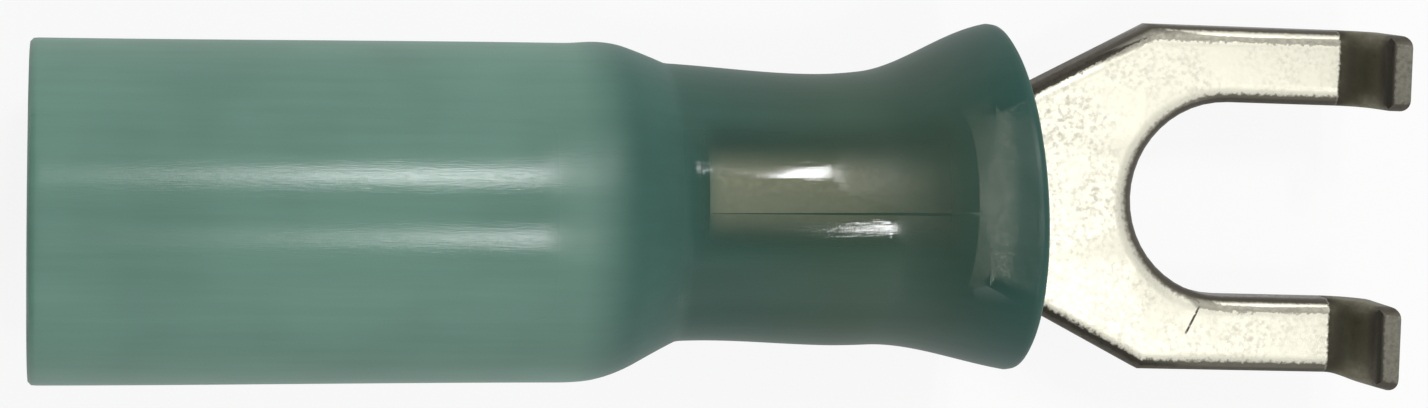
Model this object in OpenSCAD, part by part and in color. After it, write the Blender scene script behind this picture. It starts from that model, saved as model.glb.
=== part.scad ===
// Fork terminal for a wire: one tinned copper stamping, rolled into a barrel at the wire end and
// bent up at the prong tips, inside a heat-shrink sleeve that is shrunk onto the barrel.
// Millimetres. The origin is the stud centre on the underside of the tongue, +X points to the
// prong tips and +Z to the side that the flanges turn up to.

/* [Strip] */
// Thickness of the copper strip
stock_t = 0.8; // [0.6:0.05:0.9]
// How far the die roll reaches in from the upper edges of the stamping
roll_w = 0.45; // [0.2:0.05:0.5]
// How deep the die roll is at the edge
roll_d = 0.25; // [0.1:0.05:0.3]

/* [Fork] */
// Width over both prongs
fork_w = 7.6; // [7:0.1:9]
// Width of the slot that takes the stud
slot_w = 4.3; // [3.5:0.1:5.1]
// Distance from the stud centre to the outer face of the flanges
prong_reach = 3.65; // [2.8:0.05:6]
// Height of the flanges above the underside of the tongue
flange_h = 2.1; // [1.7:0.05:3]
// Inner radius of the bend at the foot of each flange
bend_r = 0.4; // [0.2:0.05:0.6]
// How far the rounding at the end of each flange reaches into its thickness
end_roll = 0.35; // [0.2:0.05:0.4]
// Rounding of the corners of each flange
tip_round = 0.25; // [0.1:0.05:0.4]
// Distance from the stud centre back to the corners of the shoulders
shoulder_set = 1.85; // [1:0.05:2.2]
// Slope of the shoulders to the axis
shoulder_angle = 27.5; // [24:0.5:40]
// Width of the tongue where the shoulders begin
neck_w = 4; // [3.4:0.1:4.4]
// Length in which the flat tongue rolls up into the barrel
roll_len = 1.1; // [0.8:0.1:2]

/* [Barrel] */
// Bore that takes the bare wire
barrel_bore = 2.4; // [1.8:0.1:2.8]
// Length of the rolled barrel
barrel_len = 5.7; // [4.5:0.1:9]
// Half angle of the trough that joins the barrel to the tongue
trough_angle = 80; // [60:5:85]
// Gap of the butt seam along the top of the barrel
seam_gap = 0.08; // [0.05:0.01:0.2]
// Lead-in chamfer at the wire end of the bore
bore_lead = 0.25; // [0.1:0.05:0.4]
// Number of grip grooves round the bore
groove_count = 3; // [1:1:4]
// Spacing of the grip grooves
groove_pitch = 1; // [0.8:0.1:1.1]
// Width of each grip groove
groove_w = 0.3; // [0.2:0.05:0.4]
// Depth of each grip groove
groove_depth = 0.1; // [0.05:0.05:0.2]

/* [Sleeve] */
// Length of the sleeve
sleeve_len = 20.4; // [17:0.1:30]
// Outside diameter of the wide wire end
sleeve_od = 7.2; // [7:0.1:8.4]
// Wall of the wide wire end
sleeve_wall = 0.6; // [0.4:0.05:0.7]
// Wall of the neck that is shrunk onto the barrel
neck_wall = 0.85; // [0.6:0.05:0.95]
// Outside diameter of the bell at the fork end
bell_od = 7.2; // [7:0.1:8.4]
// Wall at the rim of the bell
bell_wall = 0.6; // [0.4:0.05:0.7]
// Length of the flare from the neck to the rim
bell_len = 3.7; // [2.5:0.1:4.4]
// Slope of the flare at the rim, as a share of its mean slope
bell_lift = 1.25; // [0.5:0.05:1.8]
// How far the rim reaches past the front of the barrel
bell_over = 0.9; // [0.5:0.05:0.95]
// How far the neck reaches back past the rear of the barrel
neck_over = 0.5; // [0.3:0.05:1]
// Slope of the cone between the wide end and the neck
taper_angle = 25; // [20:1:40]
// Rounding where the wide end runs into the cone
taper_round = 2.5; // [1:0.1:3]
// Fillet in the crease between the cone and the neck
taper_fillet = 0.3; // [0.1:0.05:0.6]
// Rounding of the cut edges of the sleeve
cut_round = 0.12; // [0.05:0.01:0.18]
// Clearance between the barrel and the sleeve
fit_gap = 0.02; // [0.01:0.01:0.05]

/* [Hidden] */
$fn = 96;

// Small overlaps and overshoots of cutting shapes
overshoot = 0.2;
weld_lap = 0.15;
weld_tuck = 0.02;

// Steps along a die roll, a long curve and the roll-up, and across the trough
roll_steps = 6;
curve_steps = 14;
loft_steps = 10;
trough_steps = 16;

// Derived places of the stamping
prong_w = (fork_w - slot_w) / 2;
prong_mid = (fork_w + slot_w) / 4;
bend_x = prong_reach - stock_t - bend_r;
taper_x = -shoulder_set - (fork_w - neck_w) / 2 / tan(shoulder_angle);
barrel_od = barrel_bore + 2 * stock_t;
axis_z = barrel_od / 2;
barrel_front = taper_x - roll_len;
barrel_rear = barrel_front - barrel_len;
mid_r = (barrel_bore + stock_t) / 2;
trough_half_w = mid_r * trough_angle * PI / 180;
groove_first = (barrel_len - (groove_count - 1) * groove_pitch) / 2;

// Derived places of the sleeve
rim_x = barrel_front + bell_over;
sleeve_rear = rim_x - sleeve_len;
neck_r_in = barrel_od / 2 + fit_gap;
neck_r_out = neck_r_in + neck_wall;
neck_x_out = barrel_rear - neck_over;
neck_x_in = barrel_rear - neck_over / 2;

// Points of an oval round c with half widths rx and ry, from angle a0 to angle a1
function oval(c, rx, ry, a0, a1, steps) =
    [for (i = [0:steps]) let (a = a0 + (a1 - a0) * i / steps) c + [rx * cos(a), ry * sin(a)]];

// Points of an arc of radius r round c, from angle a0 to angle a1
function arc(c, r, a0, a1, steps) = oval(c, r, r, a0, a1, steps);

// The points of a list in the opposite order
function backward(list) = [for (i = [len(list) - 1:-1:0]) list[i]];

// Points along the straight line from p to q, both ends included
function line_points(p, q, count) = [for (i = [0:count - 1]) p + (q - p) * i / (count - 1)];

// Upper side of the strip's section from right to left, with a die roll at each edge
function strip_top(half_w, top, steps) =
    let (
        flat_w = half_w - roll_w,
        flat = line_points([flat_w, top], [-flat_w, top], steps + 1)
    )
    concat(
        oval([flat_w, top - roll_d], roll_w, roll_d, 0, 90, roll_steps),
        [for (i = [1:1:steps - 1]) flat[i]],
        oval([-flat_w, top - roll_d], roll_w, roll_d, 90, 180, roll_steps)
    );

// Section of the flat strip, half_w to each side of its middle
function strip_section(half_w) = concat([[-half_w, 0], [half_w, 0]], strip_top(half_w, stock_t, 1));

// The same section with as many points below as above, drawn in by tuck below and above
function strip_ring(half_w, tuck) =
    let (top = strip_top(half_w, stock_t - tuck, trough_steps))
        concat(line_points([-half_w, tuck], [half_w, tuck], len(top)), top);

// A point of the flat strip, s across and h up, after the strip is rolled to curvature k
function rolled(p, k) = k == 0
    ? p
    : [
        (1 / k - (p[1] - stock_t / 2)) * sin(p[0] * k * 180 / PI),
        stock_t / 2 + 1 / k - (1 / k - (p[1] - stock_t / 2)) * cos(p[0] * k * 180 / PI)
    ];

// Smooth step from 0 to 1
function ease(u) = u * u * (3 - 2 * u);

// Ring of points of the roll-up at x, where u runs from 0 at the barrel to 1 at the flat tongue
function roll_ring(x, u, tuck) = [
    for (p = strip_ring(trough_half_w + (neck_w / 2 - trough_half_w) * u, tuck))
        let (q = rolled(p, (1 - ease(u)) / mid_r)) [x, q[0], q[1]]
];

// Two triangles of a four-sided face
function split(a, b, c, d) = [[a, b, c], [a, c, d]];

// Closed skin over rings that follow each other along +X, each with its lower points before its upper
module skin(rings) {
    count = len(rings[0]);
    last = (len(rings) - 1) * count;
    sides = [
        for (i = [0:len(rings) - 2], j = [0:count - 1])
            let (a = i * count + j, b = i * count + (j + 1) % count)
                each split(a, a + count, b + count, b)
    ];
    ends = [
        for (j = [0:count / 2 - 2])
            let (a = j, b = j + 1, c = count - 2 - j, d = count - 1 - j)
                each concat(split(a, b, c, d), split(last + d, last + c, last + b, last + a))
    ];
    polyhedron(points = [for (ring = rings) each ring], faces = concat(sides, ends));
}

// Outline that rounding takes off an edge at the origin, reach along +X and drop along -Y
module edge_outline(reach, drop) {
    polygon(concat(
        [[reach, overshoot], [-overshoot, overshoot], [-overshoot, -drop]],
        oval([reach, -drop], reach, drop, 180, 90, roll_steps)
    ));
}

// Die roll along a straight upper edge of the tongue from p to q, with the metal on the left
module straight_roll(p, q) {
    run = q - p;
    translate([p[0], p[1], stock_t])
        rotate([90, 0, atan2(run[1], run[0]) + 90])
            linear_extrude(norm(run)) edge_outline(roll_w, roll_d);
}

// Barrel with its butt seam, lead-in and grip grooves, along +Z from its wire end
module barrel() {
    difference() {
        cylinder(d = barrel_od, h = barrel_len);
        translate([0, 0, -overshoot]) cylinder(d = barrel_bore, h = barrel_len + 2 * overshoot);
        cylinder(d1 = barrel_bore + 2 * bore_lead, d2 = barrel_bore, h = bore_lead);
        for (i = [0:groove_count - 1])
            translate([0, 0, groove_first + i * groove_pitch - groove_w / 2])
                cylinder(d = barrel_bore + 2 * groove_depth, h = groove_w);
        translate([-barrel_od, -seam_gap / 2, -overshoot])
            cube([barrel_od, seam_gap, barrel_len + 2 * overshoot]);
    }
}

// Stretch in which the strip unrolls from the barrel's trough to the flat tongue
module roll_up() {
    rings = concat(
        [roll_ring(barrel_front - weld_lap, 0, weld_tuck), roll_ring(barrel_front, 0, weld_tuck)],
        [for (i = [1:loft_steps]) roll_ring(barrel_front + roll_len * i / loft_steps, i / loft_steps, 0)],
        [roll_ring(taper_x + weld_lap, 1, weld_tuck)]
    );
    skin(rings);
}

// Flat tongue with tapered shoulders and the round root of the slot, up to the stud centre
module tongue() {
    lower = [[taper_x, -neck_w / 2], [-shoulder_set, -fork_w / 2], [0, -fork_w / 2]];
    upper = [[0, fork_w / 2], [-shoulder_set, fork_w / 2], [taper_x, neck_w / 2]];
    difference() {
        linear_extrude(stock_t) polygon(concat(lower, upper));
        translate([0, 0, -overshoot]) cylinder(d = slot_w, h = stock_t + 2 * overshoot);
        for (edge = [lower, upper], i = [0, 1])
            straight_roll(edge[i], edge[i + 1]);
        translate([0, 0, stock_t])
            rotate_extrude() translate([slot_w / 2, 0]) edge_outline(roll_w, roll_d);
    }
}

// One prong of the fork with its upturned flange, centred on Y
module prong() {
    section = strip_section(prong_w / 2);
    rotate([90, 0, 90]) linear_extrude(bend_x) polygon(section);
    difference() {
        union() {
            translate([bend_x, 0, stock_t + bend_r])
                rotate([0, 90, -90])
                    rotate_extrude(angle = 90) polygon([for (p = section) [bend_r + stock_t - p[1], p[0]]]);
            translate([0, 0, stock_t + bend_r])
                linear_extrude(flange_h - stock_t - bend_r)
                    polygon([for (p = section) [prong_reach - p[1], p[0]]]);
        }
        translate([bend_x + bend_r, fork_w / 2, flange_h])
            rotate([90, 0, 0]) linear_extrude(fork_w) edge_outline(end_roll, roll_w);
        for (side = [0, 1])
            mirror([0, side, 0]) {
                translate([bend_x, -prong_w / 2, flange_h])
                    rotate([90, 0, 90])
                        linear_extrude(prong_reach) edge_outline(tip_round, tip_round);
                translate([prong_reach, -prong_w / 2, -overshoot])
                    linear_extrude(flange_h + 2 * overshoot) rotate(180) edge_outline(tip_round, tip_round);
            }
    }
}

// The whole stamping: barrel, roll-up, tongue and both prongs in one piece of metal
module terminal_body() {
    color("gainsboro") {
        translate([barrel_rear, 0, axis_z]) rotate([0, 90, 0]) barrel();
        roll_up();
        tongue();
        for (side = [-1, 1])
            translate([0, side * prong_mid, 0]) prong();
    }
}

// Profile of the cone from the wide end, radius wide_r, to the neck, radius neck_r, that starts at neck_x
function taper_path(wide_r, neck_r, neck_x, crown, crease) =
    let (
        bend = crown + crease,
        cone = (wide_r - neck_r - bend * (1 - cos(taper_angle))) / sin(taper_angle),
        wide_x = neck_x - bend * sin(taper_angle) - cone * cos(taper_angle)
    )
    concat(
        arc([wide_x, wide_r - crown], crown, 90, 90 - taper_angle, curve_steps),
        arc([neck_x, neck_r + crease], crease, 270 - taper_angle, 270, curve_steps)
    );

// Profile of the bell: a cubic that leaves the neck level and ends at the rim at bell_lift
function bell_path(neck_r, rim_r) = [
    for (i = [0:curve_steps])
        let (s = i / curve_steps)
            [
                rim_x - cut_round - bell_len * (1 - s),
                neck_r + (rim_r - neck_r) * s * s * (3 - bell_lift + (bell_lift - 2) * s)
            ]
];

// Angle at which the bell's profile meets the rim
function rim_angle(neck_r, rim_r) = atan(bell_lift * (rim_r - neck_r) / bell_len);

// Half profile of the sleeve as points of distance along the axis and radius
function sleeve_profile() =
    let (
        rear_in = sleeve_od / 2 - sleeve_wall,
        rim_in = bell_od / 2 - bell_wall,
        rim_out = bell_od / 2,
        lean_in = rim_angle(neck_r_in, rim_in),
        lean_out = rim_angle(neck_r_out, rim_out),
        rear_c = sleeve_rear + cut_round,
        rim_c = rim_x - cut_round
    )
    concat(
        arc([rear_c, rear_in + cut_round], cut_round, 180, 270, roll_steps),
        taper_path(rear_in, neck_r_in, neck_x_in, taper_round - sleeve_wall, taper_fillet + neck_wall),
        bell_path(neck_r_in, rim_in),
        arc(
            [rim_c - cut_round * sin(lean_in), rim_in + cut_round * cos(lean_in)],
            cut_round, lean_in - 90, 0, roll_steps
        ),
        arc(
            [rim_c + cut_round * sin(lean_out), rim_out - cut_round * cos(lean_out)],
            cut_round, 0, 90 + lean_out, roll_steps
        ),
        backward(bell_path(neck_r_out, rim_out)),
        backward(taper_path(sleeve_od / 2, neck_r_out, neck_x_out, taper_round, taper_fillet)),
        arc([rear_c, sleeve_od / 2 - cut_round], cut_round, 90, 180, roll_steps)
    );

// Heat-shrink sleeve: wide wire end, cone, neck on the barrel and flared bell, in one turn
module insulating_sleeve() {
    color([0.38, 0.51, 0.46, 0.85])
        translate([0, 0, axis_z])
            rotate([0, 90, 0])
                rotate_extrude() polygon([for (p = sleeve_profile()) [p[1], p[0]]]);
}

terminal_body();
insulating_sleeve();
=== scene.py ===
import math

import bmesh
import bpy
import numpy as np
from mathutils import Matrix, Vector


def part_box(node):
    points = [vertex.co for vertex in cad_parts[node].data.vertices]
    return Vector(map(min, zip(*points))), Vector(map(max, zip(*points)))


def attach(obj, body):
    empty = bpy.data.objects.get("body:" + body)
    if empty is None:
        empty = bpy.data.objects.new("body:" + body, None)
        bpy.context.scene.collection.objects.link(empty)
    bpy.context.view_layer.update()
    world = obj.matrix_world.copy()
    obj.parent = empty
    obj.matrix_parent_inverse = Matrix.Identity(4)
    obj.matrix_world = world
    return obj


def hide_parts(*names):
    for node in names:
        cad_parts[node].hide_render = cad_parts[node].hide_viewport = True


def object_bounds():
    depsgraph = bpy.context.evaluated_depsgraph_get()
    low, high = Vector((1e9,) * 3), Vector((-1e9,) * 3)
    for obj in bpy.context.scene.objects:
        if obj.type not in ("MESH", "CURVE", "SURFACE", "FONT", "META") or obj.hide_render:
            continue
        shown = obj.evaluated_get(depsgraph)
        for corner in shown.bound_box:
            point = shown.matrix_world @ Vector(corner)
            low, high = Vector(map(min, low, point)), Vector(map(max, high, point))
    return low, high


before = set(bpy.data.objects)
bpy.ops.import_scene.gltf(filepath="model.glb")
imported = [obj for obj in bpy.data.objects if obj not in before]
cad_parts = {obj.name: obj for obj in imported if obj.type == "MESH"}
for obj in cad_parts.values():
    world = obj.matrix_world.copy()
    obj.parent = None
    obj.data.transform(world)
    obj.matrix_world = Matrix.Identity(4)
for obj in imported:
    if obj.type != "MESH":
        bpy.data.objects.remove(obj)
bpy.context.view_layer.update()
mm = 0.001
scene = bpy.context.scene

# The camera looks down on the terminal from nearly over its wire end
camera = {
    "place": (-24.93, 7.41, 77.0),  # mm
    "target": (-11.68, 0.0, 2.0),  # mm, a point on the sleeve's axis
    "turn": 1.474,  # degrees that the picture is turned about the view
    "lens": 91.29, "sensor": 36.0,  # mm, focal length and width
    "nearest": 1.0,  # mm, nothing closer is drawn
}


def aimed(place, target, turn):
    # back runs from the target to the place, right is square to it and to the turned up direction
    back = (place - target).normalized()
    hint = Vector((-math.sin(turn), math.cos(turn), 0))
    right = hint.cross(back).normalized()
    axes = Matrix((right, back.cross(right), back)).transposed()
    return Matrix.Translation(place) @ axes.to_4x4()


def makeCamera(c):
    data = bpy.data.cameras.new("camera")
    data.sensor_fit = "HORIZONTAL"
    data.sensor_width = c["sensor"]
    data.lens = c["lens"]
    data.clip_start = c["nearest"] * mm
    eye = bpy.data.objects.new("camera", data)
    scene.collection.objects.link(eye)
    eye.matrix_world = aimed(Vector(c["place"]) * mm, Vector(c["target"]) * mm, math.radians(c["turn"]))
    scene.camera = eye


makeCamera(camera)
print("stage: camera aimed")


# Small helpers for the node trees of the materials and of the room
class Tree:
    noiseRough = 0.55  # how strong the finer layers of every pattern are

    def __init__(self, owner, values):
        self.owner, self.values = owner, values
        owner.use_nodes = True
        self.nodes, self.links = owner.node_tree.nodes, owner.node_tree.links
        self.nodes.clear()

    def add(self, kind, inputs=None, **settings):
        node = self.nodes.new(kind)
        for key, value in settings.items():
            setattr(node, key, value)
        for key, value in (inputs or {}).items():
            if isinstance(value, bpy.types.NodeSocket):
                self.links.new(value, node.inputs[key])
            else:
                node.inputs[key].default_value = value
        return node

    def math(self, operation, a, b=0.0):
        return self.add("ShaderNodeMath", {0: a, 1: b}, operation=operation).outputs[0]

    def plus(self, a, b):
        return self.math("ADD", a, b)

    def less(self, a, b):
        return self.math("SUBTRACT", a, b)

    def times(self, a, b):
        return self.math("MULTIPLY", a, b)

    def most(self, a, b):
        return self.math("MAXIMUM", a, b)

    def size(self, a):
        return self.math("ABSOLUTE", a)

    def span(self, value, low, high, toLow=0.0, toHigh=1.0, smooth=True):
        kind = "SMOOTHSTEP" if smooth else "LINEAR"
        return self.add("ShaderNodeMapRange", {0: value, 1: low, 2: high, 3: toLow, 4: toHigh},
                        interpolation_type=kind, clamp=True).outputs[0]

    def limit(self, value, name, smooth=True):
        # a span whose ends are among the limits of the dictionary
        return self.span(value, *self.values["limits"][name], smooth=smooth)

    def reach(self, value, name):
        # a span whose first two ends are among the places of the dictionary, in mm
        low, high, *results = self.values["places"][name]
        return self.span(value, low * mm, high * mm, *results)

    def mix(self, share, a, b):
        # a and b are sockets or (red, green, blue)
        a, b = ((*c, 1) if isinstance(c, tuple) else c for c in (a, b))
        return self.add("ShaderNodeMix", {0: share, 6: a, 7: b}, data_type="RGBA").outputs[2]

    def noise(self, vector, name):
        # the pattern is among the patterns of the dictionary, as a size in mm and a number of finer layers
        size, layers = self.values["patterns"][name]
        return self.add("ShaderNodeTexNoise", {"Vector": vector, "Scale": 1 / (size * mm), "Detail": layers,
                                               "Roughness": self.noiseRough}).outputs[0]

    def bump(self, height):
        strength, depth = self.values["bump"]
        return self.add("ShaderNodeBump", {"Height": height, "Strength": strength,
                                           "Distance": depth * mm}).outputs[0]

    def ramp(self, value, stops):
        # stops are (place, colour or number), with places from 0 to 1
        node = self.add("ShaderNodeValToRGB", {0: value})
        node.color_ramp.interpolation = "EASE"
        while len(node.color_ramp.elements) < len(stops):
            node.color_ramp.elements.new(0.5)
        for element, (place, shade) in zip(node.color_ramp.elements, stops):
            element.position = place
            element.color = (*shade, 1) if isinstance(shade, tuple) else (shade, shade, shade, 1)
        return node.outputs[0]

    def finish(self, shader, kind="Material"):
        self.add("ShaderNodeOutput" + kind, {"Surface": shader.outputs[0]})
        return self.owner


# The sleeve: a tube that is shrunk onto the barrel, with a wide wire end, a cone, a neck and a bell
sleeve = {
    "wideRadius": 3.56, "wideWall": 0.6,  # mm, as are all lengths here
    "neckRadius": 2.87, "neckWall": 0.85,
    "rimRadius": 3.70, "rimWall": 0.6,
    "neckStart": -12.6, "neckStartInside": -12.36,
    "taperSlope": 25.0, "crownRound": 2.5, "creaseRound": 0.3,  # the slope in degrees
    "bellLength": 2.9, "bellLift": 0.4, "cutRound": 0.12,
    "waistAt": -10.32, "waistCurve": 48.0,  # where the neck is slimmest, and how it curves there
    "places": (-25.9, -15.0, -12.6, -9.4, -5.5),  # along the sleeve, for the three rows below
    "sideShift": (-0.27, -0.21, 0.03, -0.10, 0.21),  # of each ring across the sleeve
    "lean": (0.0, 0.0, -0.05, -0.03, -0.06),  # lengthwise shift of a ring for each unit across
    "tip": (0.0, 0.0, 0.0, 0.0, 0.04),  # the same for each unit up
    "gripBlend": 0.4,  # how far out from the wall that grips the barrel the shift is brought in
    "around": 224, "along": 420, "levelSteps": 40, "cutSteps": 8,  # points
}


def arcPoints(centre, radius, start, end, count=24):
    # point = centre + radius * (cos a, sin a), a from start to end in degrees
    a = np.radians(np.linspace(start, end, count))
    return np.stack([centre[0] + radius * np.cos(a), centre[1] + radius * np.sin(a)], 1)


def taperPoints(wideR, neckR, neckX, slope, crown, crease, tail=0.0):
    # a crown arc off the wide end and a crease arc into the neck, with a straight cone between them
    bend = crown + crease
    cone = (wideR - neckR - bend * (1 - math.cos(math.radians(slope)))) / math.sin(math.radians(slope))
    wideX = neckX - bend * math.sin(math.radians(slope)) - cone * math.cos(math.radians(slope))
    return np.concatenate([arcPoints((wideX, wideR - crown), crown, 90, 90 - slope),
                           arcPoints((neckX, neckR + crease), crease, 270 - slope, 270 - tail)])


def bellPoints(neckR, rimR, rimX, length, lift, count=60):
    # radius = neck + rise * s^2 * (3 - lift + (lift - 2) * s), level at the neck and at its lift at the rim
    s = np.linspace(0, 1, count)
    rise = s * s * (3 - lift + (lift - 2) * s)
    return np.stack([rimX - length * (1 - s), neckR + (rimR - neckR) * rise], 1)


def waisted(points, at, curve):
    # radius = radius + (distance from the waist)^2 / (2 * curve)
    return points + np.stack([0 * points[:, 0], (points[:, 0] - at) ** 2 / (2 * curve)], 1)


def evenly(points, count):
    # the closed outline through the points, cut into equal lengths
    loop = np.concatenate([points, points[:1]])
    run = np.concatenate([[0], np.cumsum(np.linalg.norm(np.diff(loop, axis=0), axis=1))])
    at = np.linspace(0, run[-1], count, endpoint=False)
    return np.stack([np.interp(at, run, loop[:, 0]), np.interp(at, run, loop[:, 1])], 1)


def smoothStep(x, start, end):
    # u^2 * (3 - 2 * u), where u runs from 0 at the start to 1 at the end
    u = np.clip((x - start) / (end - start), 0, 1)
    return u * u * (3 - 2 * u)


def between(x, places, values):
    # the first value, plus each later change, brought in by a smooth step between its places
    steps = zip(places[:-1], places[1:], np.diff(values))
    return values[0] + sum(change * smoothStep(x, start, end) for start, end, change in steps)


def gridMesh(name, points, inside):
    # a mesh over a grid of points that closes on itself both ways, with a mark on its inner wall
    rows, columns = points.shape[:2]
    i, j = np.meshgrid(np.arange(rows), np.arange(columns), indexing="ij")
    down, right = (i + 1) % rows, (j + 1) % columns
    corners = [i * columns + j, i * columns + right, down * columns + right, down * columns + j]
    mesh = bpy.data.meshes.new(name)
    mesh.from_pydata(points.reshape(-1, 3), [], np.stack(corners, -1).reshape(-1, 4))
    mesh.attributes.new("inside", "FLOAT", "POINT").data.foreach_set("value", np.repeat(inside, columns))
    mesh.shade_smooth()
    piece = bpy.data.objects.new(name, mesh)
    scene.collection.objects.link(piece)
    return piece


def makeSleeve(s):
    low, high = (np.array(corner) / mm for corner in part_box("insulating_sleeve"))
    rear, rim, axisZ = low[0], high[0], (low[2] + high[2]) / 2
    cut, cutSteps, levelSteps = s["cutRound"], s["cutSteps"], s["levelSteps"]
    wideIn, neckIn, rimIn = (s[k + "Radius"] - s[k + "Wall"] for k in ("wide", "neck", "rim"))
    # how far the waist swells at the neck's start, where the cone meets it, and at the rim, whose radius has it
    swell = [(x - s["waistAt"]) ** 2 / (2 * s["waistCurve"]) for x in (s["neckStart"], rim - cut)]
    tail = math.degrees((s["waistAt"] - s["neckStart"]) / s["waistCurve"])
    bell = bellPoints(s["neckRadius"], s["rimRadius"] - swell[1], rim - cut, s["bellLength"], s["bellLift"])
    level = np.stack([np.linspace(s["neckStart"], bell[0, 0], levelSteps, endpoint=False),
                      np.full(levelSteps, s["neckRadius"])], 1)
    outline = np.concatenate([
        arcPoints((rear + cut, wideIn + cut), cut, 180, 270, cutSteps),
        taperPoints(wideIn, neckIn, s["neckStartInside"], s["taperSlope"], s["crownRound"] - s["wideWall"],
                    s["creaseRound"] + s["neckWall"]),
        bellPoints(neckIn, rimIn, rim - cut, s["bellLength"], s["bellLift"]),
        arcPoints((rim - cut, rimIn + cut), cut, -90, 0, cutSteps),
        arcPoints((rim - cut, s["rimRadius"] - cut), cut, 0, 90, cutSteps),
        waisted(np.concatenate([level, bell]), s["waistAt"], s["waistCurve"])[::-1],
        taperPoints(s["wideRadius"], s["neckRadius"] + swell[0], s["neckStart"], s["taperSlope"],
                    s["crownRound"], s["creaseRound"], tail)[::-1],
        arcPoints((rear + cut, s["wideRadius"] - cut), cut, 90, 180, cutSteps),
    ])
    outline = evenly(outline, s["along"])
    # point = (x + lean * across + tip * up, across + shift, up + axis)
    # where across = radius * sin(turn) and up = radius * cos(turn)
    turn = np.linspace(0, 2 * np.pi, s["around"], endpoint=False)
    x = np.repeat(outline[:, :1], len(turn), 1)
    across = outline[:, 1:] * np.sin(turn)
    up = outline[:, 1:] * np.cos(turn)
    shift, lean, tip = (between(x, s["places"], s[key]) for key in ("sideShift", "lean", "tip"))
    shift = shift * smoothStep(outline[:, 1:], neckIn, neckIn + s["gripBlend"])
    points = np.stack([x + lean * across + tip * up, across + shift, up + axisZ], -1)
    inside = (np.arange(len(outline)) < np.argmax(outline[:, 0])).astype(np.float32)
    piece = gridMesh("heat_shrink_sleeve", points * mm, inside)
    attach(piece, "root")
    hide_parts("insulating_sleeve")
    return piece


sleevePiece = makeSleeve(sleeve)
print("stage: sleeve made,", len(sleevePiece.data.polygons), "faces")

# The stamping is the CAD mesh with welded corners and smooth rolled edges, bent a little as this one is
stamping = {
    "weld": 0.001, "sharpFrom": 32.0,  # mm and degrees
    "seamHalf": 0.0405, "seamAbove": 2.2, "seamBehind": -7.0,  # mm, where the barrel's seam is found
    "seamShut": 0.12,  # the share of the nominal gap that is left between the seam's edges
    "sideways": 0.018, "straightAt": 3.0, "bentAlong": (-7.0, -4.5),  # the fork is bent a little sideways
    "spread": 0.2, "spreadAlong": (2.5, 3.4), "spreadRight": (2.6, 3.8),  # mm, the right flange's outer edge
    "thin": 0.28, "thinAlong": (2.4, 2.8), "thinUp": (0.8, 1.9),  # the flanges thin out towards their ends
    "tipX": 3.65,  # mm, the flanges' outer faces
}


def makeStamping(s):
    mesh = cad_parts["terminal_body"].data.copy()
    mesh.name = "tinned_stamping"
    shape = bmesh.new()
    shape.from_mesh(mesh)
    bmesh.ops.remove_doubles(shape, verts=shape.verts, dist=s["weld"] * mm)
    shape.to_mesh(mesh)
    shape.free()
    spots = np.empty(len(mesh.vertices) * 3, np.float32)
    mesh.vertices.foreach_get("co", spots)
    spots = spots.reshape(-1, 3) / mm
    x, y, z = spots.T  # views, so that changing them changes the spots
    seam = (np.abs(y) < s["seamHalf"]) & (z > s["seamAbove"]) & (x < s["seamBehind"])
    y[seam] *= s["seamShut"]
    # across = across + sideways * (distance back from the prong tips), brought in ahead of the barrel
    y += s["sideways"] * (s["straightAt"] - x) * smoothStep(x, *s["bentAlong"])
    y -= s["spread"] * smoothStep(x, *s["spreadAlong"]) * smoothStep(-y, *s["spreadRight"])
    # the distance back from the tips' outer faces shrinks by the share thin, brought in up the flanges
    thin = s["thin"] * smoothStep(z, *s["thinUp"]) * smoothStep(x, *s["thinAlong"])
    x += thin * (s["tipX"] - x)
    mesh.vertices.foreach_set("co", (spots * mm).ravel())
    mesh.update()
    if "custom_normal" in mesh.attributes:
        mesh.attributes.remove(mesh.attributes["custom_normal"])
    mesh.shade_smooth()
    mesh.set_sharp_from_angle(angle=math.radians(s["sharpFrom"]))
    mesh.materials.clear()
    piece = bpy.data.objects.new("tinned_stamping", mesh)
    scene.collection.objects.link(piece)
    flat = piece.modifiers.new("keepFacesFlat", "WEIGHTED_NORMAL")
    flat.keep_sharp = True
    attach(piece, "root")
    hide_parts("terminal_body")
    return piece


stampingPiece = makeStamping(stamping)
print("stage: stamping made,", len(stampingPiece.data.polygons), "faces")

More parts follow.
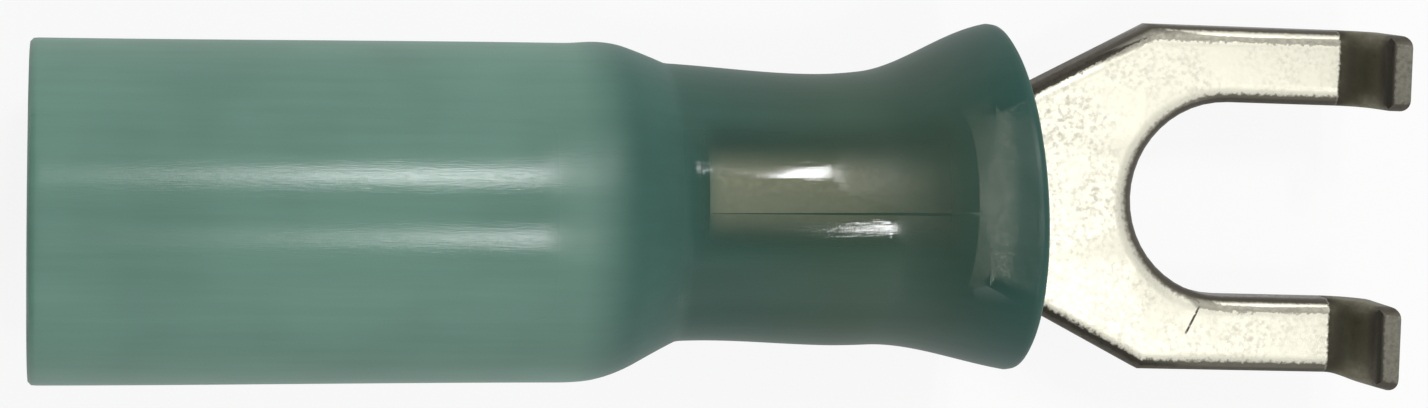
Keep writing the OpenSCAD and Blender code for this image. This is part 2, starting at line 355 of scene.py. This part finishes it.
# Tin plate: pale warm metal with grey flecks, rougher on its rolled edges and flanges, with painted shade on
# its rolled and sheared edges and, along with real tarnish, on its flanges
tin = {
    "pale": (0.80, 0.78, 0.655), "fleck": (0.52, 0.50, 0.42), "barrel": (0.86, 0.80, 0.56),
    # roll is painted shade for the rolled edges; edge is painted shade for the sheared sides and flange tips,
    # and the real dark colour of the scratch
    "roll": (0.20, 0.19, 0.155), "edge": (0.12, 0.11, 0.09),
    "rear": (0.065, 0.06, 0.048),  # painted shade for rolled edges that face the wire end
    # crease and bend colour the flanges, partly real tarnish and partly painted shade
    "crease": (0.075, 0.07, 0.05), "bend": (0.20, 0.19, 0.135),
    "cut": (0.17, 0.165, 0.135), "cutPale": (0.255, 0.2475, 0.2025),  # painted shade for the cut end faces of the flanges
    "dulled": 0.2,  # what the rolled edges, the flanges, the scratch and the barrel add to the roughness
    "bump": (0.12, 0.02),  # strength, and depth in mm
    "patterns": {"grain": (0.11, 4), "patch": (1.1, 3)},  # size in mm, finer layers
    "scratch": {"from": (-0.53, -2.27), "to": (-0.85, -2.93), "width": 0.035,  # mm
                "core": 0.4, "full": 0.8},  # the shares of its width and length that are full
    "ragged": {"roll": 0.14, "bend": 0.12, "left": 0.15, "line": 0.05},  # how far the grain moves edges
    "leftNarrow": 2.2,  # how soon an edge that turns away from the left takes the painted roll shade
    "places": {  # mm, from none to full, and what these give
        "nearBell": (-1.0, -4.5, 0.5, 1.0), "offBarrel": (-6.5, -5.2), "onBarrel": (-5.6, -6.8),
        "onTongue": (-5.6, -5.2), "dullBarrel": (-5.2, -6.5),
        "slotSides": (2.9, 2.75), "slotRoot": (-2.95, -2.8),
        "ahead": (2.42, 2.48), "creased": (2.47, 2.82), "tips": (1.60, 1.90),
    },
    "limits": {  # of the patterns and of the parts of the normal, from none to full, and what these give
        "fleckGrain": (0.40, 0.72), "fleckPatch": (0.36, 0.64), "bareGrain": (0.35, 0.65),
        "roughGrain": (0.3, 0.7, 0.32, 0.48), "scratchGrain": (0.35, 0.5),
        "slotRolled": (0, 1, -0.022, -0.012), "slotDeep": (0, 1, 0.0, -0.07),
        "rootDeep": (0.08, 0.25, 0.0, -0.09),
        "notLeft": (0.41, 0.33), "lineHeight": (0.992, 0.980), "lineLeft": (0.02, 0.10, 0.0, 0.75),
        "rollShadeHeight": (0.955, 0.90), "rollShadeLeft": (0.25, 0.15), "rollShadeRoot": (0.08, 0.30, 1.0, 0.15),
        "sheared": (0.84, 0.70), "rearward": (-0.02, -0.12), "endFaces": (0.93, 0.97),
    },
}


def makeTin(t):
    tree = Tree(bpy.data.materials.new("tinned_copper"), t)
    coord = tree.add("ShaderNodeTexCoord")
    place, normal = coord.outputs["Object"], coord.outputs["Normal"]
    x, y, z = tree.add("ShaderNodeSeparateXYZ", {0: place}).outputs
    nx, ny, nz = tree.add("ShaderNodeSeparateXYZ", {0: normal}).outputs
    grain, patch = tree.noise(place, "grain"), tree.noise(place, "patch")
    speck = tree.less(grain, 0.5)  # the grain about its middle

    def ragged(value, name, unit=1.0):
        return tree.plus(value, tree.times(speck, t["ragged"][name] * unit))

    fleck = tree.times(tree.limit(grain, "fleckGrain"), tree.limit(patch, "fleckPatch"))
    fleckedAlong = tree.times(tree.reach(x, "nearBell"), tree.reach(x, "offBarrel"))  # more towards the sleeve
    colour = tree.mix(tree.times(fleck, fleckedAlong), t["pale"], t["fleck"])
    colour = tree.mix(tree.reach(x, "onBarrel"), colour, t["barrel"])
    # the height of the normal falls from 1 on the faces to 0 on the sheared sides
    inSlot = tree.times(tree.reach(tree.size(y), "slotSides"), tree.reach(x, "slotRoot"))
    height = tree.plus(ragged(nz, "roll"), tree.limit(inSlot, "slotRolled"))  # the slot is rolled less
    ahead = tree.reach(ragged(x, "bend", mm), "ahead")  # from the bends to the tips
    onTongue = tree.times(tree.reach(x, "onTongue"), tree.less(1.0, ahead))  # the painted edge shade is kept to the tongue, off the barrel and the flanges
    # edges that face straight left get no painted roll shade, only a thin grey line of painted shade where they
    # leave the face
    left = tree.less(ny, tree.times(tree.size(nx), t["leftNarrow"]))
    notLeft = tree.limit(ragged(left, "left"), "notLeft")
    line = tree.times(tree.limit(ragged(nz, "line"), "lineHeight"), tree.limit(left, "lineLeft"))
    # painted shade on the rolled edges, where the normal tips away from the face
    rollShade = tree.times(tree.limit(height, "rollShadeHeight"), tree.limit(left, "rollShadeLeft"))
    rollShade = tree.times(rollShade, tree.limit(nx, "rollShadeRoot"))  # less painted shade where an edge faces the tips, as at the slot's root
    rolled = tree.times(tree.times(tree.most(rollShade, line), notLeft), onTongue)
    deep = tree.plus(height, tree.limit(inSlot, "slotDeep"))
    deep = tree.plus(deep, tree.limit(nx, "rootDeep"))  # the painted shade on the steep sides is widest in the slot's root
    # painted shade on the steep sheared sides
    sheared = tree.times(tree.limit(deep, "sheared"), onTongue)
    # painted shade on the rolled edges, darkest where they face the wire end
    colour = tree.mix(rolled, colour, tree.mix(tree.limit(nx, "rearward"), t["roll"], t["rear"]))
    colour = tree.mix(sheared, colour, t["edge"])
    # the flanges are darkest where the bend begins, partly real tarnish and partly painted shade, and near
    # their tips the sides and cut end faces get painted shade
    colour = tree.mix(ahead, colour, tree.mix(tree.reach(x, "creased"), t["crease"], t["bend"]))
    tips = tree.reach(z, "tips")
    ends = tree.times(tips, tree.limit(height, "endFaces"))
    endShade = tree.mix(tree.limit(grain, "bareGrain"), t["cut"], t["cutPale"])
    # painted shade on the sides near the flange tips, then on their end faces
    colour = tree.mix(tree.times(tips, ahead), colour, t["edge"])
    colour = tree.mix(tree.times(ends, ahead), colour, endShade)
    # the scratch is a short straight line, measured along it and across it from its middle
    scratch = t["scratch"]
    head, tail = Vector(scratch["from"]), Vector(scratch["to"])
    way, half, middle = (tail - head).normalized(), (tail - head).length / 2, (head + tail) / 2
    fromX, fromY = tree.less(x, middle.x * mm), tree.less(y, middle.y * mm)
    lengthwise = tree.plus(tree.times(fromX, way.x), tree.times(fromY, way.y))
    sideways = tree.less(tree.times(fromX, way.y), tree.times(fromY, way.x))
    width = scratch["width"]
    mark = tree.times(tree.span(tree.size(sideways), width * mm, scratch["core"] * width * mm),
                      tree.span(tree.size(lengthwise), half * mm, scratch["full"] * half * mm))
    mark = tree.times(mark, tree.limit(grain, "scratchGrain"))
    colour = tree.mix(mark, colour, t["edge"])
    dull = tree.most(tree.most(rolled, ahead), mark)
    dull = tree.most(dull, tree.reach(x, "dullBarrel"))  # the barrel is duller than the tongue
    rough = tree.plus(tree.limit(grain, "roughGrain", smooth=False), tree.times(dull, t["dulled"]))
    return tree.finish(tree.add("ShaderNodeBsdfPrincipled", {
        "Base Color": colour, "Metallic": 1.0, "Roughness": rough, "Normal": tree.bump(grain)}))


stampingPiece.data.materials.append(makeTin(tin))

# Heat-shrink plastic: milky at the wide end, deep teal at the cone and the bell, clearer on the neck
plastic = {
    # the five rows of stops have places along the sleeve, in mm, and a value for each
    "colour": [(-25.9, (0.142, 0.280, 0.222)), (-15.0, (0.142, 0.280, 0.222)), (-13.6, (0.034, 0.118, 0.093)),
               (-12.4, (0.030, 0.096, 0.073)), (-9.0, (0.038, 0.088, 0.058)), (-7.6, (0.038, 0.088, 0.063)),
               (-5.5, (0.016, 0.080, 0.062))],
    "cover": [(-25.9, 0.95), (-15.0, 0.95), (-12.6, 0.90), (-11.9, 0.55), (-9.5, 0.60), (-7.4, 0.76),
              (-6.95, 0.93), (-6.5, 0.905), (-6.2, 0.91), (-5.9, 0.97), (-5.5, 0.98)],
    "window": [(-25.9, 0.95), (-7.6, 0.95), (-6.6, 0.86), (-5.5, 0.86)],  # how far up the ring it clears
    "tilt": [(-25.9, 0.25), (-7.6, 0.25), (-6.6, 0.12), (-5.5, 0.12)],  # how far left the clear strip lies
    "rough": [(-25.9, 0.18), (-16.0, 0.18), (-14.9, 0.36), (-14.4, 0.42), (-12.82, 0.42), (-12.75, 0.055),
              (-5.5, 0.055)],
    "axis": 2.0,  # mm, the height of the sleeve's axis
    "sideRough": 0.5, "sideCover": 1.0, "ior": 1.42,
    "patterns": {  # size in mm, finer layers
        "haze": (3.5, 2), "lines": (0.25, 3), "fine": (0.07, 2), "hairlines": (0.06, 2), "finest": (0.02, 1),
    },
    "drawnOut": (0.06, 1, 1),  # the scale that stretches the lines along the tube
    "fineShare": 0.15,  # of the fine pattern in the relief
    "bump": (0.10, 0.02),  # strength, and depth in mm
    "sooner": 1.3,  # mm, how much sooner the bell's dull finish comes on the left
    "places": {  # mm, from the first to the second, and what these give
        "onNeck": (-13.4, -12.7), "offBell": (-8.7, -8.0, 1.0, 0.05),
        "innerCover": (-12.5, -12.2, 1.0, 0.2), "leftSide": (0.15, 0.6), "flare": (-8.6, -7.9, 0.0, 0.42),
    },
    "limits": {  # of the patterns and of the ring's height, and what these give
        "haze": (0.3, 0.7, 0.92, 1.06), "lines": (0.3, 0.7, -0.03, 0.03),
        "hairlines": (0, 1, 0.3, 1.4), "finest": (0, 1, 0.9, 0.0),  # on the wide end and on the neck
        "glossy": (0.70, 0.90),
    },
    "clearEdge": (0.07, -0.08),  # how softly the clear strip ends
}


def makePlastic(p):
    tree = Tree(bpy.data.materials.new("teal_heat_shrink"), p)
    place = tree.add("ShaderNodeTexCoord").outputs["Object"]
    x, y, z = tree.add("ShaderNodeSeparateXYZ", {0: place}).outputs
    rear, rim = p["colour"][0][0], p["colour"][-1][0]
    run = tree.span(x, rear * mm, rim * mm, smooth=False)

    def along(key):
        return tree.ramp(run, [((at - rear) / (rim - rear), value) for at, value in p[key]])

    drawn = tree.add("ShaderNodeMapping", {"Vector": place, "Scale": p["drawnOut"]}).outputs[0]
    haze, lines = tree.noise(place, "haze"), tree.noise(drawn, "lines")
    shade = tree.plus(tree.limit(haze, "haze"), tree.limit(lines, "lines"))
    colour = tree.add("ShaderNodeVectorMath", {0: along("colour"), "Scale": shade}, operation="SCALE")
    # hairlines spread the highlights round the tube, are finest on the wide end and fade out on the bell
    onNeck = tree.reach(x, "onNeck")
    hairlines = tree.times(tree.noise(drawn, "hairlines"), tree.limit(onNeck, "hairlines"))
    hairlines = tree.times(hairlines, tree.reach(x, "offBell"))
    finest = tree.times(tree.noise(drawn, "finest"), tree.limit(onNeck, "finest"))
    relief = tree.plus(lines, tree.times(tree.noise(place, "fine"), p["fineShare"]))
    relief = tree.plus(relief, tree.plus(hairlines, finest))
    # the ring's direction at a point: across is 1 at its left and up is 1 at its top
    ring = tree.add("ShaderNodeCombineXYZ", {1: y, 2: tree.less(z, p["axis"] * mm)}).outputs[0]
    ring = tree.add("ShaderNodeVectorMath", {0: ring}, operation="NORMALIZE").outputs[0]
    _, across, up = tree.add("ShaderNodeSeparateXYZ", {0: ring}).outputs
    # the neck's and the bell's haze is given to their outer face, so little is left for their inner face
    inside = tree.add("ShaderNodeAttribute", attribute_name="inside").outputs["Fac"]
    level = tree.plus(tree.size(up), tree.times(across, along("tilt")))
    level = tree.less(level, along("window"))
    cover = tree.span(level, *p["clearEdge"], along("cover"), p["sideCover"])  # hazier down the sides
    cover = tree.times(cover, tree.span(inside, 0, 1, 1, tree.reach(x, "innerCover")))
    # the sides and the inner face are dull, and so is the bell
    glossy = tree.times(tree.limit(tree.size(up), "glossy"), tree.less(1.0, inside))
    at = tree.plus(x, tree.times(tree.reach(y, "leftSide"), p["sooner"] * mm))
    rough = tree.most(along("rough"), tree.reach(at, "flare"))
    rough = tree.span(glossy, 0, 1, p["sideRough"], rough)
    return tree.finish(tree.add("ShaderNodeBsdfPrincipled", {
        "Base Color": colour.outputs[0], "Roughness": rough, "IOR": p["ior"], "Alpha": cover,
        "Normal": tree.bump(relief)}))


sleevePiece.data.materials.append(makePlastic(plastic))
print("stage: materials made")

# A pale floor under the lowest point, four small lamps, and a room that is bright ahead of the fork
studio = {
    "floorSize": 2.0, "floorColour": 0.92, "floorLift": 0.88,  # metres, shade, share of plain white
    "roomDark": 0.12, "roomSeen": 0.95,  # beyond the wire end, and as the camera sees the room
    "limits": {  # of the parts of a direction in the room, from none to full, and what these give
        "front": (-0.28, 0.08), "far": (0.45, 0.75, 1.0, 0.8), "left": (0.15, 0.7, 1.0, 0.8),
        "overhead": (0.6, 0.92, 1.0, 0.57),
    },
    "middle": (-9.0, 0.0, 2.0),  # mm, what the lamps face
    "lamps": [
        # name, direction, distance in m, size along and across in m, radiance
        ("lamp_left", (0.216, 0.57, 0.79), 0.5, 0.023, 0.09, 75.0),
        ("lamp_left_soft", (0.075, 0.49, 0.867), 0.5, 0.04, 0.08, 42.0),
        ("lamp_right", (0.152, -0.19, 0.97), 0.5, 0.016, 0.09, 50.0),
        ("lamp_right_soft", (0.105, -0.19, 0.977), 0.5, 0.03, 0.065, 27.0),
    ],
}


def makeFloor(s, height):
    half = s["floorSize"] / 2
    corners = [(-half, -half), (half, -half), (half, half), (-half, half)]
    mesh = bpy.data.meshes.new("floor")
    mesh.from_pydata([(*corner, height) for corner in corners], [], [(0, 1, 2, 3)])
    tree = Tree(bpy.data.materials.new("pale_floor"), s)
    rays = tree.add("ShaderNodeLightPath").outputs
    seen = tree.most(rays["Is Camera Ray"], rays["Is Glossy Ray"])
    seen = tree.most(seen, rays["Is Transmission Ray"])
    plain = tree.add("ShaderNodeEmission", {"Color": (1, 1, 1, 1), "Strength": 1.0})
    matt = tree.add("ShaderNodeBsdfDiffuse", {"Color": (s["floorColour"],) * 3 + (1,)})
    mesh.materials.append(tree.finish(tree.add("ShaderNodeMixShader", {
        0: tree.times(seen, s["floorLift"]), 1: matt.outputs[0], 2: plain.outputs[0]})))
    floor = bpy.data.objects.new("floor", mesh)
    scene.collection.objects.link(floor)


def makeLamps(s):
    middle = Vector(s["middle"]) * mm
    for name, direction, distance, length, width, radiance in s["lamps"]:
        data = bpy.data.lights.new(name, "AREA")
        data.shape = "ELLIPSE"
        data.size, data.size_y = length, width
        data.energy = radiance * math.pi * length * width * math.pi / 4  # radiance * pi * area
        lamp = bpy.data.objects.new(name, data)
        scene.collection.objects.link(lamp)
        lamp.matrix_world = aimed(middle + Vector(direction).normalized() * distance, middle, 0)


def makeRoom(s):
    scene.world = bpy.data.worlds.new("room")
    tree = Tree(scene.world, s)
    direction = tree.add("ShaderNodeTexCoord").outputs["Generated"]
    ahead, across, up = tree.add("ShaderNodeSeparateXYZ", {0: direction}).outputs
    share = tree.times(tree.limit(ahead, "front"), tree.limit(ahead, "far"))
    share = tree.times(share, tree.limit(across, "left"))
    level = tree.span(share, 0, 1, s["roomDark"], tree.limit(up, "overhead"), smooth=False)
    seen = tree.add("ShaderNodeLightPath").outputs["Is Camera Ray"]
    level = tree.add("ShaderNodeMix", {0: seen, 2: level, 3: s["roomSeen"]}, data_type="FLOAT").outputs[0]
    tree.finish(tree.add("ShaderNodeBackground", {"Color": (1, 1, 1, 1), "Strength": level}), "World")


visualBox = [list(corner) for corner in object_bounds()]
makeFloor(studio, visualBox[0][2])
makeLamps(studio)
makeRoom(studio)
scene.view_settings.view_transform = "Standard"
print("stage: studio lit")
